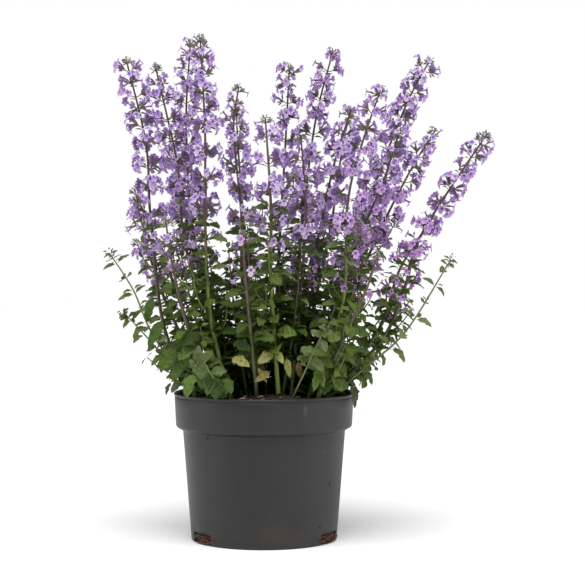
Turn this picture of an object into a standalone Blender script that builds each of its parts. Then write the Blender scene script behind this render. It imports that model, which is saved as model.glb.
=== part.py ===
# A clump of catmint growing in a 3 litre nursery pot.
# Lengths are in metres. The pot stands on z = 0, its axis is the Z axis, and the side that is
# seen first faces -Y. The planting plan further down is written in millimetres.
import math

import bmesh
import bpy
import numpy as np
from mathutils import Matrix

MM = 0.001
GAP = 0.0003

# Pot
TURN_STEPS = 48
POT_HEIGHT = 0.155
LIP_RADIUS = 0.0950
COLLAR_TOP_RADIUS = 0.0946
COLLAR_FOOT_RADIUS = 0.0931
COLLAR_FOOT_Z = 0.1196
BODY_TOP_RADIUS = 0.0858
BODY_TOP_Z = 0.1150
FOOT_RADIUS = 0.0770
WALL = 0.0015
BASE_THICKNESS = 0.0020
SLOT_WIDTH = 0.035
SLOT_HEIGHT = 0.0095
SLOT_ANGLES = (213.0, 333.0, 87.0)
DRAIN_RADIUS = 0.0040
DRAIN_RING = 0.045
DRAIN_COUNT = 6

# Root ball
SOIL_TOP = 0.1430
SOIL_EDGE = 0.1410
SOCKET_RADIUS = 0.0030
SOCKET_DEPTH = 0.008

# Stems, leaves and flowers
STEM_RADIUS = 0.0020
STALK_RADIUS = 0.0013
PATH_STEP = 0.028
LEAF_STEP = 0.033
LOWEST_LEAF = 0.165
LEAF_LENGTH = 0.027
LEAF_ASPECT = 0.50
LEAF_THICKNESS = 0.0009
WHORL_RADIUS = 0.0150
WHORL_STEP = 0.026
LOWEST_WHORL = 0.012

# Each flowering stem: name, foot (x, y), points it passes through (x, y, z), its tip, and how
# high its flowers begin. Millimetres.
FLOWERING = (
    ("far_left", (-48, -8), ((-100, -20, 211), (-117, -28, 335), (-122, -29, 415)), (-148, -35, 505), 330),
    ("left_low", (-56, 22), ((-98, 40, 267), (-116, 50, 315)), (-147, 55, 355), 290),
    ("left_outer", (-40, 8), ((-83, 8, 307), (-92, 8, 395)), (-116, 6, 493), 330),
    ("left_back", (-28, 36), ((-74, 46, 305), (-85, 50, 435)), (-80, 50, 522), 350),
    ("tallest", (-34, -32), ((-54, -40, 233), (-60, -42, 333), (-60, -42, 425)), (-65, -44, 526), 335),
    ("centre_left", (-14, -8), ((-23, -6, 275), (-24, -4, 345), (-32, 0, 430)), (-22, 2, 475), 325),
    ("front", (16, -50), ((8, -62, 270), (8, -64, 349)), (2, -64, 445), 350),
    ("centre", (8, 26), ((15, 34, 295), (22, 36, 412)), (27, 38, 495), 330),
    ("centre_back", (22, 54), ((40, 74, 325), (55, 82, 445)), (72, 86, 513), 340),
    ("middle_low", (28, -20), ((42, -28, 305), (43, -30, 365)), (38, -32, 430), 305),
    ("right_tall", (42, 16), ((98, 24, 317), (116, 26, 375), (148, 28, 463)), (170, 30, 505), 335),
    ("right_front", (56, -42), ((82, -54, 255), (86, -58, 350), (99, -60, 407)), (122, -60, 475), 315),
    ("right_inner", (22, 4), ((56, 0, 312), (74, -2, 396)), (93, -2, 457), 315),
    ("right_back", (56, 42), ((110, 66, 295), (146, 78, 387)), (172, 84, 437), 310),
    ("far_right", (66, -6), ((124, -14, 211), (148, -16, 267), (166, -16, 323)), (232, -20, 429), 290),
    ("right_mid", (46, -16), ((100, -24, 315), (124, -26, 375)), (136, -26, 423), 305),
    ("right_low", (70, 18), ((124, 28, 222), (146, 34, 285)), (186, 40, 347), 275),
    ("back_left", (-42, 52), ((-80, 92, 305), (-98, 106, 385)), (-110, 114, 443), 310),
    ("back", (-8, 60), ((-22, 100, 305), (-30, 116, 405)), (-34, 124, 470), 325),
    ("back_right", (32, 72), ((70, 114, 315), (84, 128, 405)), (94, 136, 457), 325),
    ("rear_right", (54, 60), ((102, 98, 295), (126, 112, 355)), (140, 120, 405), 300),
    ("rear_left", (-62, 38), ((-112, 70, 255), (-132, 84, 315)), (-146, 92, 377), 290),
    ("front_left", (-56, -34), ((-82, -66, 245), (-92, -80, 295)), (-98, -90, 341), 270),
    ("low_right", (54, -62), ((88, -92, 231), (104, -104, 267)), (116, -112, 307), 245),
    ("low_front", (-6, -56), ((-14, -84, 241), (-18, -92, 285)), (-20, -98, 327), 267),
)

# Leafy shoots: name, foot, points and tip, written the same way.
LEAFY = (
    ("shoot_left", (-64, -16), ((-112, -38, 213), (-134, -42, 263)), (-158, -42, 301)),
    ("shoot_right", (66, -30), ((104, -42, 183), (146, -50, 221)), (192, -56, 295)),
    ("shoot_rim_left", (-40, -62), ((-52, -92, 181), (-60, -112, 195)), (-66, -128, 191)),
    ("shoot_rim_right", (28, -68), ((44, -98, 187), (54, -116, 211)), (62, -128, 227)),
    ("shoot_back", (-26, 74), ((-40, 108, 205), (-52, 132, 245)), (-60, 146, 273)),
    ("shoot_back_right", (72, 44), ((110, 78, 205), (134, 92, 237)), (156, 104, 261)),
    ("shoot_back_left", (-70, 16), ((-112, 26, 195), (-134, 34, 219)), (-152, 40, 237)),
)


def new_collection(name):
    collection = bpy.data.collections.new(name)
    bpy.context.scene.collection.children.link(collection)
    return collection


def new_material(name, colour, roughness):
    material = bpy.data.materials.new(name)
    material.use_nodes = True
    shader = material.node_tree.nodes["Principled BSDF"]
    shader.inputs["Base Color"].default_value = (*colour, 1.0)
    shader.inputs["Roughness"].default_value = roughness
    shader.inputs["Metallic"].default_value = 0.0
    material.diffuse_color = (*colour, 1.0)
    return material


def place(obj, collection, material):
    for old in list(obj.users_collection):
        old.objects.unlink(obj)
    collection.objects.link(obj)
    obj.data.materials.clear()
    obj.data.materials.append(material)


def turned(name, profile, collection, material):
    """A solid turned round the Z axis from (radius, height) pairs that run down the outside."""
    mesh = bpy.data.meshes.new(name)
    mesh.from_pydata([(r, 0.0, z) for r, z in profile], [(i, i + 1) for i in range(len(profile) - 1)], [])
    obj = bpy.data.objects.new(name, mesh)
    place(obj, collection, material)
    screw = obj.modifiers.new("Turn", "SCREW")
    screw.axis = "Z"
    screw.angle = math.tau
    screw.steps = TURN_STEPS
    screw.render_steps = TURN_STEPS
    screw.use_merge_vertices = True
    screw.merge_threshold = 0.0001
    return obj


def add_boolean(obj, other, operation):
    boolean = obj.modifiers.new(other.name, "BOOLEAN")
    boolean.operation = operation
    boolean.solver = "EXACT"
    boolean.object = other


def as_cutter(obj):
    cutters.objects.link(obj)
    obj.hide_render = True
    obj.display_type = "WIRE"


def shade(obj):
    for polygon in obj.data.polygons:
        polygon.use_smooth = True
    obj.data.set_sharp_from_angle(angle=math.radians(35))


def smooth_path(points):
    """Evenly spaced points on a smooth curve through the given ones, PATH_STEP apart."""
    knots = np.array(points, float) * MM
    knots = np.vstack([2 * knots[0] - knots[1], knots, 2 * knots[-1] - knots[-2]])
    u = np.linspace(0.0, 1.0, 16, endpoint=False)[:, None]
    spans = []
    for a, b, c, d in zip(knots, knots[1:], knots[2:], knots[3:]):
        bend = (2 * a - 5 * b + 4 * c - d) * u**2 + (3 * b - a - 3 * c + d) * u**3
        spans.append(0.5 * (2 * b + (c - a) * u + bend))
    fine = np.vstack(spans + [knots[-2:-1]])
    run = np.concatenate([[0.0], np.cumsum(np.linalg.norm(np.diff(fine, axis=0), axis=1))])
    even = np.linspace(0.0, run[-1], max(4, int(run[-1] / PATH_STEP) + 1))
    return np.stack([np.interp(even, run, fine[:, axis]) for axis in range(3)], axis=1)


def stem_path(foot, points, tip):
    """A stem rises straight out of its socket and then follows its points."""
    x, y = foot
    rise = (x, y, SOIL_TOP / MM + 6)
    path = smooth_path((rise, *points, tip))
    floor = (x * MM, y * MM, SOIL_TOP - SOCKET_DEPTH + GAP)
    return np.vstack([floor, path])


def along(path, distance):
    """Point and direction of travel at a distance from the start of a path."""
    lengths = np.linalg.norm(np.diff(path, axis=0), axis=1)
    run = np.concatenate([[0.0], np.cumsum(lengths)])
    i = int(np.clip(np.searchsorted(run, distance, side="right") - 1, 0, len(lengths) - 1))
    way = (path[i + 1] - path[i]) / lengths[i]
    return path[i] + way * (distance - run[i]), way


def length_of(path):
    return float(np.linalg.norm(np.diff(path, axis=0), axis=1).sum())


def distance_to_height(path, height):
    """How far along a path it first reaches a height."""
    lengths = np.linalg.norm(np.diff(path, axis=0), axis=1)
    run = np.concatenate([[0.0], np.cumsum(lengths)])
    i = int(np.argmax(path[:, 2] >= height))
    part = (height - path[i - 1, 2]) / (path[i, 2] - path[i - 1, 2])
    return run[i - 1] + part * lengths[i - 1]


def tube(name, path, radii, sides_step, material):
    """A closed stalk of varying radius along a path."""
    curve = bpy.data.curves.new(name, "CURVE")
    curve.dimensions = "3D"
    curve.bevel_depth = 1.0
    curve.bevel_resolution = sides_step
    curve.use_fill_caps = True
    curve.twist_mode = "MINIMUM"
    spline = curve.splines.new("POLY")
    spline.points.add(len(path) - 1)
    for point, position, radius in zip(spline.points, path, radii):
        point.co = (*position, 1.0)
        point.radius = radius
    guide = bpy.data.objects.new(name + "_guide", curve)
    bpy.context.scene.collection.objects.link(guide)
    graph = bpy.context.evaluated_depsgraph_get()
    mesh = bpy.data.meshes.new_from_object(guide.evaluated_get(graph))
    mesh.name = name
    matrix = guide.matrix_world.copy()
    bpy.data.objects.remove(guide)
    shape = bmesh.new()
    shape.from_mesh(mesh)
    bmesh.ops.remove_doubles(shape, verts=shape.verts, dist=0.00001)
    bmesh.ops.recalc_face_normals(shape, faces=shape.faces)
    shape.to_mesh(mesh)
    shape.free()
    obj = bpy.data.objects.new(name, mesh)
    obj.matrix_world = matrix
    place(obj, catmint, material)
    return obj


# A leaf pair is one blade that runs through the stem, narrow at the stem and broad on each side.
# Along one leaf: share of its length, and half width as a share of the broadest.
LEAF_STATIONS = (
    (-1.0, 0.0),
    (-0.62, 0.82),
    (-0.30, 1.0),
    (0.0, 0.16),
    (0.30, 1.0),
    (0.62, 0.82),
    (1.0, 0.0),
)


def leaf_line(centre, way, turn, length):
    """Middle line of a leaf pair at its stations, its broad direction and its upper side."""
    side = np.array([math.cos(turn), math.sin(turn), 0.0])
    side -= way * (side @ way)
    side /= np.linalg.norm(side)
    across = np.cross(way, side)
    rows = []
    for s, _ in LEAF_STATIONS:
        rise = 0.42 * abs(s) - 0.30 * s * s
        rows.append(centre + length * (s * side + rise * way))
    return np.array(rows), across, way


def add_leaf_pair(shape, centre, way, turn, length):
    line, across, up = leaf_line(centre, way, turn, length)
    rings = []
    for position, (_, width) in zip(line, LEAF_STATIONS):
        half = 0.5 * LEAF_ASPECT * length * width
        if half == 0.0:
            rings.append([shape.verts.new(position)])
            continue
        corners = (position - across * half, position + across * half, position - up * LEAF_THICKNESS)
        rings.append([shape.verts.new(corner) for corner in corners])
    for first, second in zip(rings, rings[1:]):
        for i in range(3):
            j = (i + 1) % 3
            if len(first) == 1:
                shape.faces.new((first[0], second[i], second[j]))
            elif len(second) == 1:
                shape.faces.new((first[i], second[0], first[j]))
            else:
                shape.faces.new((first[i], second[i], second[j], first[j]))


class Room:
    """Spheres round everything placed so far, so that nothing is placed into its neighbour."""

    def __init__(self):
        self.centres = np.empty((0, 3))
        self.radii = np.empty(0)
        self.owners = np.empty(0, int)

    def add(self, owner, centres, radii):
        centres = np.atleast_2d(centres)
        self.centres = np.vstack([self.centres, centres])
        self.radii = np.concatenate([self.radii, np.broadcast_to(radii, len(centres))])
        self.owners = np.concatenate([self.owners, np.full(len(centres), owner)])

    def clearance(self, owner, centre):
        other = self.owners != owner
        return float((np.linalg.norm(self.centres[other] - centre, axis=1) - self.radii[other]).min())


def clears_pot(centre, radius):
    reach = math.hypot(centre[0], centre[1])
    above = centre[2] - radius > POT_HEIGHT + 0.001
    inside = reach + radius < COLLAR_FOOT_RADIUS - WALL - 0.002 and centre[2] - radius > SOIL_TOP + 0.001
    return above or inside


def leaf_spheres(centre, way, turn, length):
    line, _, _ = leaf_line(centre, way, turn, length)
    middle = 0.5 * (line[:-1] + line[1:])
    centres = np.vstack([line, middle])
    widths = np.array([width for _, width in LEAF_STATIONS])
    widths = np.concatenate([widths, 0.5 * (widths[:-1] + widths[1:])])
    return centres, 0.5 * LEAF_ASPECT * length * widths + 0.0008


def place_leaves(owner, path, first, last, room):
    """Leaf pairs up a stem, each turned a quarter from the one below where its neighbours allow."""
    pairs = []
    distance = first
    turn = 0.4 + 0.9 * owner
    while distance < last:
        centre, way = along(path, distance)
        share = (distance - first) / max(last - first, 0.001)
        full = LEAF_LENGTH * (1.0 - 0.30 * share)
        for scale, swing in [(s, w) for s in (1.0, 0.8, 0.62) for w in (0, 0.5, -0.5, 1.0, -1.0, 1.5)]:
            centres, radii = leaf_spheres(centre, way, turn + swing, full * scale)
            free = all(room.clearance(owner, c) > r for c, r in zip(centres, radii))
            if free and all(clears_pot(c, r) for c, r in zip(centres, radii)):
                pairs.append((centre, way, turn + swing, full * scale))
                room.add(owner, centres, radii)
                break
        turn += math.pi / 2
        distance += LEAF_STEP
    return pairs


def leafy_stem(name, path, radii, pairs):
    """A square stem with its leaf pairs grown on, one solid."""
    stem = tube(name, path, radii, 0, leaf_green)
    if not pairs:
        shade(stem)
        return stem
    shape = bmesh.new()
    for centre, way, turn, length in pairs:
        add_leaf_pair(shape, centre, way, turn, length)
    bmesh.ops.triangulate(shape, faces=shape.faces)
    bmesh.ops.recalc_face_normals(shape, faces=shape.faces)
    mesh = bpy.data.meshes.new(name + "_leaves")
    shape.to_mesh(mesh)
    shape.free()
    leaves = bpy.data.objects.new(name + "_leaves", mesh)
    as_cutter(leaves)
    add_boolean(stem, leaves, "UNION")
    shade(stem)
    return stem


def whorl_places(path, start):
    """Distances along a path at which the rings of flowers sit: close together near the tip."""
    end = length_of(path)
    places = []
    distance = start + LOWEST_WHORL
    step = WHORL_STEP
    while distance < end - 0.006:
        places.append(distance)
        distance += step
        step = max(0.013, step * 0.93)
    return places


def whorl_size(share):
    """Radius of a ring of flowers, at a share of the way up its spike: full below, small at the tip."""
    return WHORL_RADIUS * (1.0 - 0.62 * share**1.6)


# Scene
for leftover in list(bpy.data.objects):
    bpy.data.objects.remove(leftover)
catmint = new_collection("catmint_plant")
cutters = new_collection("cutters")
cutters.hide_render = True

pot_grey = new_material("pot_plastic", (0.052, 0.052, 0.050), 0.42)
soil_brown = new_material("potting_soil", (0.020, 0.014, 0.010), 0.95)
leaf_green = new_material("leaf_green", (0.085, 0.150, 0.040), 0.60)
flower_lilac = new_material("flower_lilac", (0.300, 0.190, 0.560), 0.65)

# Pot: turned wall with a rolled lip, a collar that steps in to the body, and a flat base.
pot_profile = (
    (LIP_RADIUS - WALL - 0.0003, POT_HEIGHT - 0.0006),
    (LIP_RADIUS - 0.0010, POT_HEIGHT),
    (LIP_RADIUS, POT_HEIGHT - 0.0008),
    (LIP_RADIUS, POT_HEIGHT - 0.0022),
    (COLLAR_TOP_RADIUS, POT_HEIGHT - 0.0028),
    (COLLAR_FOOT_RADIUS, COLLAR_FOOT_Z),
    (COLLAR_FOOT_RADIUS - 0.0012, COLLAR_FOOT_Z - 0.0016),
    (BODY_TOP_RADIUS, BODY_TOP_Z),
    (FOOT_RADIUS + 0.0006, 0.0030),
    (FOOT_RADIUS - 0.0014, 0.0),
    (0.0, 0.0),
)
pot_inside = (
    (0.0, BASE_THICKNESS),
    (FOOT_RADIUS - WALL, BASE_THICKNESS),
    (BODY_TOP_RADIUS - WALL, BODY_TOP_Z + 0.0006),
    (COLLAR_FOOT_RADIUS - 0.0012 - WALL, COLLAR_FOOT_Z + 0.0002),
    (COLLAR_TOP_RADIUS - WALL, POT_HEIGHT - 0.0028),
    (LIP_RADIUS - WALL - 0.0003, POT_HEIGHT - 0.0006),
)
pot = turned("pot", pot_profile + pot_inside, catmint, pot_grey)
shape = bmesh.new()
for degrees in SLOT_ANGLES:
    turn = Matrix.Rotation(math.radians(degrees), 4, "Z")
    move = Matrix.Translation((FOOT_RADIUS, 0.0, 0.5 * SLOT_HEIGHT - 0.005))
    size = Matrix.Diagonal((0.008, SLOT_WIDTH, SLOT_HEIGHT + 0.010, 1.0))
    bmesh.ops.create_cube(shape, size=1.0, matrix=turn @ move @ size)
for i in range(DRAIN_COUNT):
    angle = math.tau * (i + 0.5) / DRAIN_COUNT
    move = Matrix.Translation((DRAIN_RING * math.cos(angle), DRAIN_RING * math.sin(angle), 0.0))
    bmesh.ops.create_cone(
        shape,
        cap_ends=True,
        segments=12,
        radius1=DRAIN_RADIUS,
        radius2=DRAIN_RADIUS,
        depth=0.02,
        matrix=move,
    )
mesh = bpy.data.meshes.new("pot_drainage")
shape.to_mesh(mesh)
shape.free()
drainage = bpy.data.objects.new("pot_drainage", mesh)
as_cutter(drainage)
add_boolean(pot, drainage, "DIFFERENCE")

# Root ball: fills the pot, with a socket for the foot of every stem.
FIT = GAP + 0.0001
soil_profile = (
    (0.0, SOIL_TOP),
    (COLLAR_FOOT_RADIUS - WALL - 0.006, SOIL_TOP),
    (COLLAR_FOOT_RADIUS + 0.0008 - WALL - FIT, SOIL_EDGE),
    (COLLAR_FOOT_RADIUS - 0.0014 - WALL - FIT, COLLAR_FOOT_Z + 0.0006),
    (BODY_TOP_RADIUS - WALL - FIT, BODY_TOP_Z + 0.0008),
    (FOOT_RADIUS - WALL - FIT, BASE_THICKNESS + GAP),
    (0.0, BASE_THICKNESS + GAP),
)
soil = turned("root_ball", soil_profile, catmint, soil_brown)
shape = bmesh.new()
for row in FLOWERING + LEAFY:
    x, y = row[1]
    move = Matrix.Translation((x * MM, y * MM, SOIL_TOP))
    bmesh.ops.create_cone(
        shape,
        cap_ends=True,
        segments=6,
        radius1=SOCKET_RADIUS,
        radius2=SOCKET_RADIUS,
        depth=2 * SOCKET_DEPTH,
        matrix=move,
    )
mesh = bpy.data.meshes.new("stem_sockets")
shape.to_mesh(mesh)
shape.free()
sockets = bpy.data.objects.new("stem_sockets", mesh)
as_cutter(sockets)
add_boolean(soil, sockets, "DIFFERENCE")

# Where everything grows: the stalks first, then the rings of flowers, and the leaves last.
room = Room()
paths = [stem_path(row[1], row[2], row[3]) for row in FLOWERING + LEAFY]
fine_paths = []
for owner, path in enumerate(paths):
    steps = np.arange(0.0, length_of(path), 0.004)
    fine_paths.append(np.array([along(path, s)[0] for s in steps]))
    room.add(owner, fine_paths[-1], 0.0026)

whorls = []
for owner, row in enumerate(FLOWERING):
    path = paths[owner]
    start = distance_to_height(path, row[4] * MM)
    end = length_of(path)
    rest = np.vstack([fine for other, fine in enumerate(fine_paths) if other != owner])
    rings = []
    for distance in whorl_places(path, start):
        centre, _ = along(path, distance)
        near = float(np.linalg.norm(rest - centre, axis=1).min())
        radius = min(whorl_size((distance - start) / (end - start)), 0.47 * near)
        rings.append((distance, radius))
        room.add(owner, centre, radius + 0.0010)
    whorls.append((start, rings))

# Flowering stems: the leafy part is cut square where the flowers begin, and the spike goes on.
for owner, row in enumerate(FLOWERING):
    path = paths[owner]
    start, rings = whorls[owner]
    joint, way = along(path, start)
    run = np.concatenate([[0.0], np.cumsum(np.linalg.norm(np.diff(path, axis=0), axis=1))])
    below = path[run < start - 0.008]
    lower = np.vstack([below, joint - way * 0.004, joint])
    radii = np.linspace(STEM_RADIUS, STALK_RADIUS + 0.0002, len(lower))
    pairs = place_leaves(owner, path, distance_to_height(path, LOWEST_LEAF), start - 0.010, room)
    leafy_stem("stem_" + row[0], lower, radii, pairs)

    points = [joint + way * GAP, joint + way * 0.004]
    widths = [STALK_RADIUS + 0.0002, STALK_RADIUS]
    previous = start + 0.004
    for distance, radius in rings:
        low = distance - 0.006
        if low > previous + 0.004:
            points.append(along(path, low)[0])
            widths.append(STALK_RADIUS)
        points.append(along(path, distance)[0])
        widths.append(radius)
        points.append(along(path, distance + 0.0065)[0])
        widths.append(STALK_RADIUS)
        previous = distance + 0.0065
    tip, tip_way = along(path, length_of(path))
    points.append(tip + tip_way * 0.004)
    widths.append(0.0006)
    spike = tube("spike_" + row[0], np.array(points), widths, 1, flower_lilac)
    shade(spike)

for owner, row in enumerate(LEAFY, start=len(FLOWERING)):
    path = paths[owner]
    end = length_of(path)
    radii = np.linspace(STEM_RADIUS, 0.0008, len(path))
    pairs = place_leaves(owner, path, distance_to_height(path, LOWEST_LEAF), end, room)
    leafy_stem(row[0], path, radii, pairs)

for obj in (pot, soil):
    shade(obj)
bpy.context.view_layer.update()
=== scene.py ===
import bpy
import numpy as np
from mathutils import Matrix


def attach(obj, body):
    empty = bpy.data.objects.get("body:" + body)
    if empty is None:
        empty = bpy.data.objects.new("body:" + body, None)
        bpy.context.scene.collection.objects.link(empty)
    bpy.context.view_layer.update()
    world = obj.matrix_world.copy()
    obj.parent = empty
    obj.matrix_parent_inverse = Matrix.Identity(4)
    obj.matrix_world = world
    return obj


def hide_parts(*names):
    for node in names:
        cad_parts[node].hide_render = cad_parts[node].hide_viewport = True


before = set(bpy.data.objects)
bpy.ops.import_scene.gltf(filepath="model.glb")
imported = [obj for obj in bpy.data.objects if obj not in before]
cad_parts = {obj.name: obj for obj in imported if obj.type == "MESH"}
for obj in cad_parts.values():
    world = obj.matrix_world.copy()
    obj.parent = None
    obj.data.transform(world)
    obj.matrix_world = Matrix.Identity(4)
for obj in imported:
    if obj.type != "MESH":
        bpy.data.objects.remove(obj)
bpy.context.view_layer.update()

# The nursery pot: one dark grey polypropylene moulding with a deep collar, a rolled lip and three
# drainage slots cut through the foot. Its wall is an outline carried round the axis, and the lower
# edge of that outline climbs over each slot. Lengths here and below are in millimetres.
MM = 0.001
WALL = 1.5
BODY_TOP = 115.0
BODY_RADII = (76.9, 85.8)
UNDER_COLLAR = 113.6
FLOOR_RADIUS = 75.9
FLOOR_NOTCH = 5.5
SLOT_ANGLES = np.array((213.0, 333.0, 87.0))
SLOT_HALF_ANGLE = 12.6
SLOT_HEIGHT = 11.0


class Value:
    """A number carried by a shader socket; arithmetic on it adds Math nodes."""

    def __init__(self, socket):
        self.socket = socket

    def math(self, operation, *terms):
        """A Math node of this operation on the terms, each a number or another Value."""
        tree = self.socket.id_data
        node = tree.nodes.new("ShaderNodeMath")
        node.operation = operation
        for place, term in zip(node.inputs, terms):
            if isinstance(term, Value):
                tree.links.new(term.socket, place)
            else:
                place.default_value = term
        return Value(node.outputs[0])

    def of(self, operation):
        """A Math node of one term: the sine, the cosine, the size or the whole part of this value."""
        return self.math(operation, self)

    def __add__(self, other):
        return self.math("ADD", self, other)

    def __mul__(self, other):
        return self.math("MULTIPLY", self, other)

    def __sub__(self, other):
        return self.math("SUBTRACT", self, other)

    def __rsub__(self, other):
        return self.math("SUBTRACT", other, self)

    def __pow__(self, other):
        return self.math("POWER", self, other)

    __radd__ = __add__
    __rmul__ = __mul__


class Finish:
    """A material whose shader is put together one node at a time."""

    def __init__(self, name, roughness, colour):
        self.material = bpy.data.materials.new(name)
        self.material.use_nodes = True
        self.material.diffuse_color = (*colour, 1.0)
        self.tree = self.material.node_tree
        self.shader = self.tree.nodes["Principled BSDF"]
        self.shader.inputs["Roughness"].default_value = roughness
        self.shader.inputs["Base Color"].default_value = (*colour, 1.0)
        self.place = self.node("ShaderNodeTexCoord", {}, {}).outputs["Object"]

    def node(self, kind, settings, links):
        """Adds a node, sets its settings and then its sockets, each to a value or to a link."""
        node = self.tree.nodes.new(kind)
        for key, setting in settings.items():
            setattr(node, key, setting)
        for key, value in links.items():
            self.feed(node.inputs[key], value)
        return node

    def feed(self, place, value):
        """Links place to a socket, or sets it to a number, a vector or a colour without alpha."""
        value = value.socket if isinstance(value, Value) else value
        if isinstance(value, bpy.types.NodeSocket):
            self.tree.links.new(value, place)
        elif place.type == "RGBA":
            place.default_value = (*value, 1.0)
        else:
            place.default_value = value

    def noise(self, scale, detail=3.0, where=None):
        """Fractal noise from 0 to 1, about scale lumps to a metre, read at the place on the object."""
        links = {"Vector": self.place if where is None else where, "Scale": scale, "Detail": detail}
        return Value(self.node("ShaderNodeTexNoise", {}, links).outputs["Fac"])

    def stretched(self, sizes):
        """The place on the object, each axis multiplied by its own size."""
        return self.node("ShaderNodeMapping", {}, {"Vector": self.place, "Scale": sizes}).outputs[0]

    def height(self):
        """Height above the ground, in metres."""
        return Value(self.node("ShaderNodeSeparateXYZ", {}, {"Vector": self.place}).outputs["Z"])

    def shares(self):
        """The copy's number, and how far across and along the copy this point lies."""
        where = self.node("ShaderNodeUVMap", {"uv_map": "UVMap"}, {}).outputs["UV"]
        split = self.node("ShaderNodeSeparateXYZ", {}, {"Vector": where})
        across, along = Value(split.outputs["X"]), Value(split.outputs["Y"])
        number = across.of("FLOOR")
        return number, across - number, along

    def chance(self, number, seed):
        """A random value from 0 to 1 that stays the same all over one copy."""
        links = {"W": number + seed}
        made = self.node("ShaderNodeTexWhiteNoise", {"noise_dimensions": "1D"}, links)
        return Value(made.outputs["Value"])

    def between(self, value, low, high):
        """0 below low, 1 above high and a smooth rise from one to the other."""
        links = {"Value": value, "From Min": low, "From Max": high}
        made = self.node("ShaderNodeMapRange", {"interpolation_type": "SMOOTHSTEP"}, links)
        return Value(made.outputs["Result"])

    def blend(self, first, second, share):
        """The first colour where share is 0, the second where it is 1, and a mix between."""
        links = {0: share, 6: first, 7: second}
        return self.node("ShaderNodeMix", {"data_type": "RGBA"}, links).outputs[2]

    def colour(self, colour):
        """Feeds the base colour."""
        self.feed(self.shader.inputs["Base Color"], colour)

    def roughness(self, value):
        """Feeds the roughness."""
        self.feed(self.shader.inputs["Roughness"], value)

    def bump(self, height, strength, depth):
        """Tilts the surface as if it stood out by height times depth, in metres."""
        links = {"Height": height, "Strength": strength, "Distance": depth}
        made = self.node("ShaderNodeBump", {}, links)
        self.feed(self.shader.inputs["Normal"], made.outputs["Normal"])

    def let_light_through(self, colour, share):
        """A share of the light passes through the thin blade and takes on one even colour."""
        glow = self.node("ShaderNodeBsdfTranslucent", {}, {"Color": colour})
        links = {0: share, 1: self.shader.outputs[0], 2: glow.outputs[0]}
        mixed = self.node("ShaderNodeMixShader", {}, links)
        self.feed(self.tree.nodes["Material Output"].inputs["Surface"], mixed.outputs[0])


def grid_faces(copies, rows, columns, closed, looped=False):
    """Quads of equal grids and the (across, along) share of each corner.

    A closed grid joins its last column to its first, a looped one its last row to its first. Copy
    number n has its across share in n..n+1, so a finish can tell the copies apart.
    """
    spans = columns if closed else columns - 1
    steps = rows if looped else rows - 1
    row, column = (part.ravel() for part in np.mgrid[0:steps, 0:spans])
    rows_of = np.stack([row, row, row + 1, row + 1], axis=1)
    columns_of = np.stack([column, column + 1, column + 1, column], axis=1)
    one = rows_of % rows * columns + columns_of % columns
    number = np.arange(copies)[:, None, None]
    quads = (number * rows * columns + one).reshape(-1, 4)
    across = number + 0.01 + 0.98 * columns_of / spans
    along = np.broadcast_to(rows_of / steps, across.shape)
    return quads, np.stack([across, along], axis=-1).reshape(-1, 2)


def end_faces(copies, rows, columns, first, last):
    """Flat faces that close the first and the last ring of equal closed grids."""
    number = np.arange(copies)[:, None] * rows * columns
    rings = []
    if first:
        rings.append(number + np.arange(columns)[::-1])
    if last:
        rings.append(number + (rows - 1) * columns + np.arange(columns))
    faces = np.concatenate(rings)
    across = np.tile(np.arange(copies), len(rings))[:, None] + 0.5
    along = np.repeat([0.0] * first + [1.0] * last, copies)[:, None]
    shares = np.stack(np.broadcast_arrays(across, along, faces)[:2], axis=-1)
    return faces, shares.reshape(-1, 2)


def new_piece(name, parts, finish, nodes=()):
    """One mesh from parts, each (points, [(face corners, corner shares), ...]), placed on the body."""
    points = np.concatenate([part[0].reshape(-1, 3) for part in parts]) * MM
    starts = np.cumsum([0] + [part[0].size // 3 for part in parts])
    groups = [(start + faces, shares) for part, start in zip(parts, starts) for faces, shares in part[1]]
    corners = np.concatenate([faces.ravel() for faces, _ in groups])
    sides = np.concatenate([np.full(len(faces), faces.shape[1]) for faces, _ in groups])
    shares = np.concatenate([shares for _, shares in groups])
    mesh = bpy.data.meshes.new(name)
    mesh.vertices.add(len(points))
    mesh.vertices.foreach_set("co", points.astype(np.float32).ravel())
    mesh.loops.add(len(corners))
    mesh.loops.foreach_set("vertex_index", corners.astype(np.int32))
    mesh.polygons.add(len(sides))
    mesh.polygons.foreach_set("loop_start", (np.cumsum(sides) - sides).astype(np.int32))
    mesh.polygons.foreach_set("use_smooth", np.ones(len(sides), bool))
    mesh.uv_layers.new(name="UVMap").data.foreach_set("uv", shares.astype(np.float32).ravel())
    mesh.update(calc_edges=True)
    mesh.materials.append(finish.material)
    piece = bpy.data.objects.new(name, mesh)
    bpy.context.scene.collection.objects.link(piece)
    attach(piece, "root")
    if nodes:
        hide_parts(*nodes)
    return piece


def round_the_axis(radius, height, angle):
    """Points of a turned surface: row i, column j lies at radius[i, j], height[i, j], angle[j]."""
    turn = np.radians(angle)
    radius, height = np.broadcast_arrays(radius, height)
    return np.stack([radius * np.cos(turn), radius * np.sin(turn), height], axis=-1)


def pot_angles():
    """Every 1.5 degrees, with close steps at the two edges of each slot."""
    edges = SLOT_ANGLES[:, None, None] + np.array((-SLOT_HALF_ANGLE, SLOT_HALF_ANGLE))[:, None]
    close = (edges + np.linspace(-0.45, 0.45, 7)).ravel() % 360.0
    return np.unique(np.concatenate([np.arange(0.0, 360.0, 1.5), close]))


def slot_share(angle):
    """1 over a slot and 0 elsewhere, rising over 0.9 degrees at each edge."""
    off = np.abs((angle[:, None] - SLOT_ANGLES + 180.0) % 360.0 - 180.0).min(axis=1)
    return np.clip((SLOT_HALF_ANGLE + 0.45 - off) / 0.9, 0.0, 1.0)


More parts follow.
